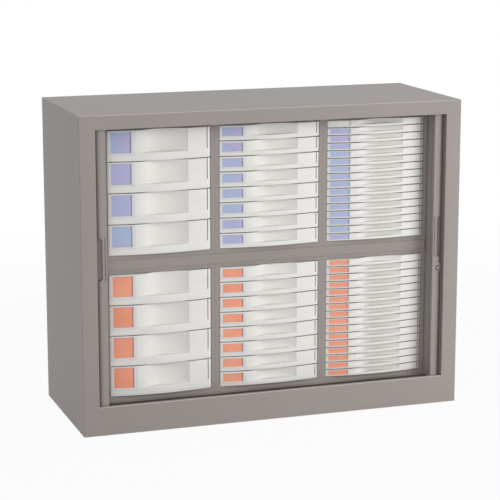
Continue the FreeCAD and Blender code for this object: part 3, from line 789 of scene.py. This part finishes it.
def tray(kind):
    """Open tray behind a front, with softened rims: an outer and an inner skin."""
    rim, floor = kind.tray_top, TRAY_BOTTOM + TRAY_FLOOR
    outer = (DRAWER_HALF, FRONT_BACK - OUTER_LAP, TRAY_BACK)
    inner = (DRAWER_HALF - TRAY_WALL, FRONT_BACK - INNER_LAP, TRAY_BACK - TRAY_WALL)
    # skin, inset of its sides and its back, height
    levels = [
        (outer, BOTTOM_SOFT, TRAY_BOTTOM),
        (outer, 0.0, TRAY_BOTTOM + BOTTOM_SOFT),
        (outer, 0.0, rim - RIM_SOFT),
        (outer, RIM_SOFT, rim),
        (inner, -RIM_SOFT, rim),
        (inner, 0.0, rim - RIM_SOFT),
        (inner, 0.0, floor + FLOOR_SOFT),
        (inner, FLOOR_SOFT, floor),
    ]
    points, faces = [], []
    for (half, front, back), inset, z in levels:
        side, rear = half - inset, back - inset
        points += [(-side, front, z), (side, front, z), (side, rear, z), (-side, rear, z)]
    for low in range(0, len(points) - 4, 4):
        for k in range(4):
            n = (k + 1) % 4
            faces.append((low + k, low + n, low + 4 + n, low + 4 + k))
    for low in (0, len(points) - 4):
        faces.append(tuple(low + k for k in range(4)))
    return points, faces


def inset_by(outline, by):
    x0, x1, z0, z1 = outline
    return (x0 + by, x1 - by, z0 + by, z1 - by)


def outline_points(outline):
    """Points round a rectangle, with enough along its length to follow the bow."""
    x0, x1, z0, z1 = outline
    xs = spread(x0, x1, LABEL_COLUMNS)
    return [(x, z0) for x in xs] + [(x, z1) for x in reversed(xs)]


def label_holder(kind):
    """Rim round the label's place, following the bow: a closed band of rings."""
    opening = (*kind.label_x, *kind.label_z)
    left, right, up, down = kind.rim
    border = (opening[0] - left, opening[1] + right, opening[2] - down, opening[3] + up)
    outer_inset, outer_drop = HOLDER_OUTER_SOFT
    inner_inset, inner_drop = HOLDER_INNER_SOFT
    rings = [
        (border, HOLDER_SUNK),
        (border, outer_drop - HOLDER_PROUD),
        (inset_by(border, outer_inset), -HOLDER_PROUD),
        (inset_by(opening, -inner_inset), -HOLDER_PROUD),
        (opening, inner_drop - HOLDER_PROUD),
        (opening, HOLDER_SUNK),
    ]
    points, faces = [], []
    for outline, offset in rings:
        points += [(x, bow_y(x) + offset, z) for x, z in outline_points(outline)]
    count = len(points) // len(rings)
    for r in range(len(rings)):
        here, after = r * count, (r + 1) % len(rings) * count
        for k in range(count):
            n = (k + 1) % count
            faces.append((here + k, here + n, after + n, after + k))
    return points, faces


def label_card(kind):
    """Thin closed card in the label's recess, following the bow."""
    x0, x1, z0, z1 = inset_by((*kind.label_x, *kind.label_z), CARD_INSET)
    xs = spread(x0, x1, LABEL_COLUMNS)
    points, faces = [], []
    for offset in (CARD_FACE, CARD_BACK):
        for x in xs:
            points += [(x, bow_y(x) + offset, z) for z in (z0, z1)]
    n = 2 * len(xs)
    for a in range(0, n - 2, 2):
        faces += [
            (a, a + 2, a + 3, a + 1),
            (n + a, n + a + 1, n + a + 3, n + a + 2),
            (a, n + a, n + a + 2, a + 2),
            (a + 1, a + 3, n + a + 3, n + a + 1),
        ]
    faces += [(0, 1, n + 1, n), (n - 2, 2 * n - 2, 2 * n - 1, n - 1)]
    return points, faces


def make_drawers():
    for column, kind in enumerate(KINDS):
        paired = kind.per_node > 1
        # a group hangs from its lowest drawer; the first in a group is the upper one
        lifts = [kind.pitch * (kind.per_node - 1 - i) for i in range(kind.per_node)]
        solids = [lifted(form(kind), lift) for lift in lifts for form in (front_block, tray)]
        moulding_mesh = mesh_from(f"{kind.name}_moulding", *joined(solids))
        holders = [lifted(label_holder(kind), lift) for lift in lifts]
        holder_mesh = mesh_from(f"{kind.name}_label_holder", *joined(holders))
        card_meshes = {}
        stem = f"{kind.name}_drawer_pair" if paired else f"{kind.name}_drawer"
        for place in ("upper", "lower"):
            tinted = blue_card if place == "upper" else orange_card
            bottom = ROW_BOTTOM[place] + BOTTOM_BORDER + FRONT_GAP / 2
            for group in range(kind.rows // kind.per_node):
                node = f"{stem}_{place}_{group + 1}"
                below = kind.rows - (group + 1) * kind.per_node
                lowest = bottom + below * kind.pitch
                at = ((column - 1) * COLUMN_PITCH * MM, 0.0, lowest * MM)
                new_piece(
                    f"moulding_{node}", moulding_mesh, ivory, node, [node], at
                )
                holder = f"label_holder_{node}"
                new_piece(holder, holder_mesh, holder_plastic, node, at=at)
                for i, lift in enumerate(lifts):
                    # the uppermost slim drawer's card is blank
                    blank = paired and place == "upper" and group == 0 and i == 0
                    material = white_card if blank else tinted
                    key = (material.name, i)
                    if key not in card_meshes:
                        card = lifted(label_card(kind), lift)
                        card_meshes[key] = mesh_from(f"{kind.name}_card", *card)
                    name = f"card_{node}_{i + 1}" if paired else f"card_{node}"
                    new_piece(name, card_meshes[key], material, node, at=at)


# ---- tambour doors ----


def path_point(distance):
    """Point and outward direction on the right door's path, in plan."""
    corner_x = SIDE_LINE - CURTAIN_BEND
    corner_front = GROOVE_MIDDLE + CURTAIN_BEND
    corner_rear = REAR_LINE - CURTAIN_BEND
    bend = CURTAIN_BEND * math.pi / 2
    runs = [corner_x - BAR_OUTER, bend, corner_rear - corner_front, bend]
    if distance < runs[0]:
        return (BAR_OUTER + distance, GROOVE_MIDDLE), (0.0, -1.0)
    distance -= runs[0]
    if distance < runs[1]:
        turn = distance / CURTAIN_BEND
        out = (math.sin(turn), -math.cos(turn))
        return (corner_x + CURTAIN_BEND * out[0], corner_front + CURTAIN_BEND * out[1]), out
    distance -= runs[1]
    if distance < runs[2]:
        return (SIDE_LINE, corner_front + distance), (1.0, 0.0)
    distance -= runs[2]
    if distance < runs[3]:
        turn = distance / CURTAIN_BEND
        out = (math.cos(turn), math.sin(turn))
        return (corner_x + CURTAIN_BEND * out[0], corner_rear + CURTAIN_BEND * out[1]), out
    return (corner_x - (distance - runs[3]), REAR_LINE), (0.0, 1.0)


def curtain_mesh(name, first, last, place):
    """Jointed sheet from slat number first to last; place maps a distance to (point, out)."""
    front = [(n + share, off) for n in range(first, last) for share, off in SLAT_SECTION]
    front.append((last, SLAT_SECTION[0][1]))
    back = [(n + share, off) for n in range(first, last) for share, off in BACK_SECTION]
    back.append((last, BACK_SECTION[0][1]))
    ring = []
    for steps, off in front + back[::-1]:
        (x, y), (ox, oy) = place(steps * SLAT_PITCH)
        ring.append((x + ox * off, y + oy * off))
    return mesh_from(name, *prism(ring, DOOR_BOTTOM, DOOR_TOP))


def closed_to_rest(x_closed):
    """Where a point of the closed curtain lies when the door is open, by the blend's weight."""
    low, high = RUN_END, RUN_START
    for _ in range(RUN_HALVINGS):
        x = (low + high) / 2
        t = (RUN_START - x) / (RUN_START - RUN_END)
        moved = x - t * t * (3 - 2 * t) * DOOR_TRAVEL
        if moved < x_closed:
            low = x
        else:
            high = x
    return (low + high) / 2


def run_place(distance):
    """Like path_point, for the running front: the closed door's slats drawn into the groove."""
    x = BAR_OUTER - DOOR_TRAVEL + RUN_GAP + distance
    return (closed_to_rest(min(x, RUN_START)), GROOVE_MIDDLE), (0.0, -1.0)


def mirror_mesh(mesh, name):
    copy = mesh.copy()
    copy.name = name
    work = bmesh.new()
    work.from_mesh(copy)
    for vertex in work.verts:
        vertex.co.x = -vertex.co.x
    bmesh.ops.reverse_faces(work, faces=work.faces)
    work.to_mesh(copy)
    work.free()
    return copy


def make_curtains():
    stowed = curtain_mesh("stowed_slats", STOWED_FROM, SLATS, path_point)
    run = curtain_mesh("running_slats", 0, RUN_SLATS, run_place)
    for side, sign in (("right", 1.0), ("left", -1.0)):
        if side == "left":
            stowed = mirror_mesh(stowed, "stowed_slats_left")
            run = mirror_mesh(run, "running_slats_left")
        node = f"{side}_tambour_curtain"
        still, moving = f"{side}_stowed_slats", f"{side}_running_slats"
        new_piece(still, stowed, slat_plastic, "cabinet", [node])
        piece = new_piece(moving, run, slat_plastic, None, [node])
        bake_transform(piece)


# ---- stage ----


def area_light(name, at, size, power):
    data = bpy.data.lights.new(name, "AREA")
    data.shape = "DISK"
    data.size = size
    data.energy = power
    lamp = bpy.data.objects.new(name, data)
    bpy.context.scene.collection.objects.link(lamp)
    lamp.location = at
    aim = Vector(LAMP_TARGET) - Vector(at)
    lamp.rotation_euler = aim.to_track_quat("-Z", "Y").to_euler()
    return lamp


def white_to_camera(graph):
    """1 for rays from the camera, gloss and glass, else 0."""
    path = graph.nodes.new("ShaderNodeLightPath").outputs
    straight = graph.math("MAXIMUM", path["Is Camera Ray"], path["Is Glossy Ray"])
    return graph.math("MAXIMUM", straight, path["Is Transmission Ray"])


def make_world():
    world = bpy.data.worlds.new("studio")
    world.use_nodes = True
    bpy.context.scene.world = world
    graph = Graph(world.node_tree)
    level = graph.span(white_to_camera(graph), 0.0, 1.0, WORLD_LIGHT)
    graph.feed(graph.nodes["Background"], {"Color": opaque((1.0, 1.0, 1.0)), "Strength": level})


def floor_material():
    """Pale floor that keeps the shadow near the cabinet and turns plain white further out."""
    made = Shader("pale_floor", 0.9, specular=0.1)
    made.color(made.ramp(made.noise(scale=1.5, detail=3.0), FLOOR_TONES))
    away = made.vector_math("LENGTH", made.where)
    whiter = made.span(away, *SHADOW_REACH, low=FLOOR_WHITE_NEAR, smooth=True)
    share = made.math("MULTIPLY", white_to_camera(made), whiter)
    glow = made.node("ShaderNodeEmission", {"Strength": 1.0}).outputs["Emission"]
    both = {"Fac": share, 1: made.shader.outputs["BSDF"], 2: glow}
    surface = made.node("ShaderNodeMixShader", both).outputs["Shader"]
    made.feed(made.nodes["Material Output"], {"Surface": surface})
    return made.material


def make_stage():
    scene = bpy.context.scene
    scene.view_settings.view_transform = "Standard"
    make_world()
    mesh = bpy.data.meshes.new("floor")
    far = FLOOR_REACH
    corners = [(-far, -far), (far, -far), (far, far), (-far, far)]
    mesh.from_pydata([(x, y, FLOOR_LEVEL) for x, y in corners], [], [(0, 1, 2, 3)])
    mesh.materials.append(floor_material())
    floor = bpy.data.objects.new("floor", mesh)
    scene.collection.objects.link(floor)
    key = area_light(*KEY_LAMP)
    # seen from behind, its mirror image would hide the top
    key.visible_glossy = False
    area_light(*FILL_LAMP)


def make_camera():
    data = bpy.data.cameras.new("camera")
    data.sensor_width = SENSOR_MM
    data.lens = FOCAL_PX / PHOTO_SIZE * SENSOR_MM
    data.clip_end = CAMERA_SIGHT
    camera = bpy.data.objects.new("camera", data)
    bpy.context.scene.collection.objects.link(camera)
    camera.location = CAMERA_AT
    level = math.cos(CAMERA_PITCH)
    ahead = Vector(
        (math.sin(CAMERA_YAW) * level, math.cos(CAMERA_YAW) * level, -math.sin(CAMERA_PITCH))
    )
    camera.rotation_euler = ahead.to_track_quat("-Z", "Y").to_euler()
    bpy.context.scene.camera = camera


make_camera()
dress_nodes()
make_side_panels()
make_drawers()
make_curtains()
make_stage()
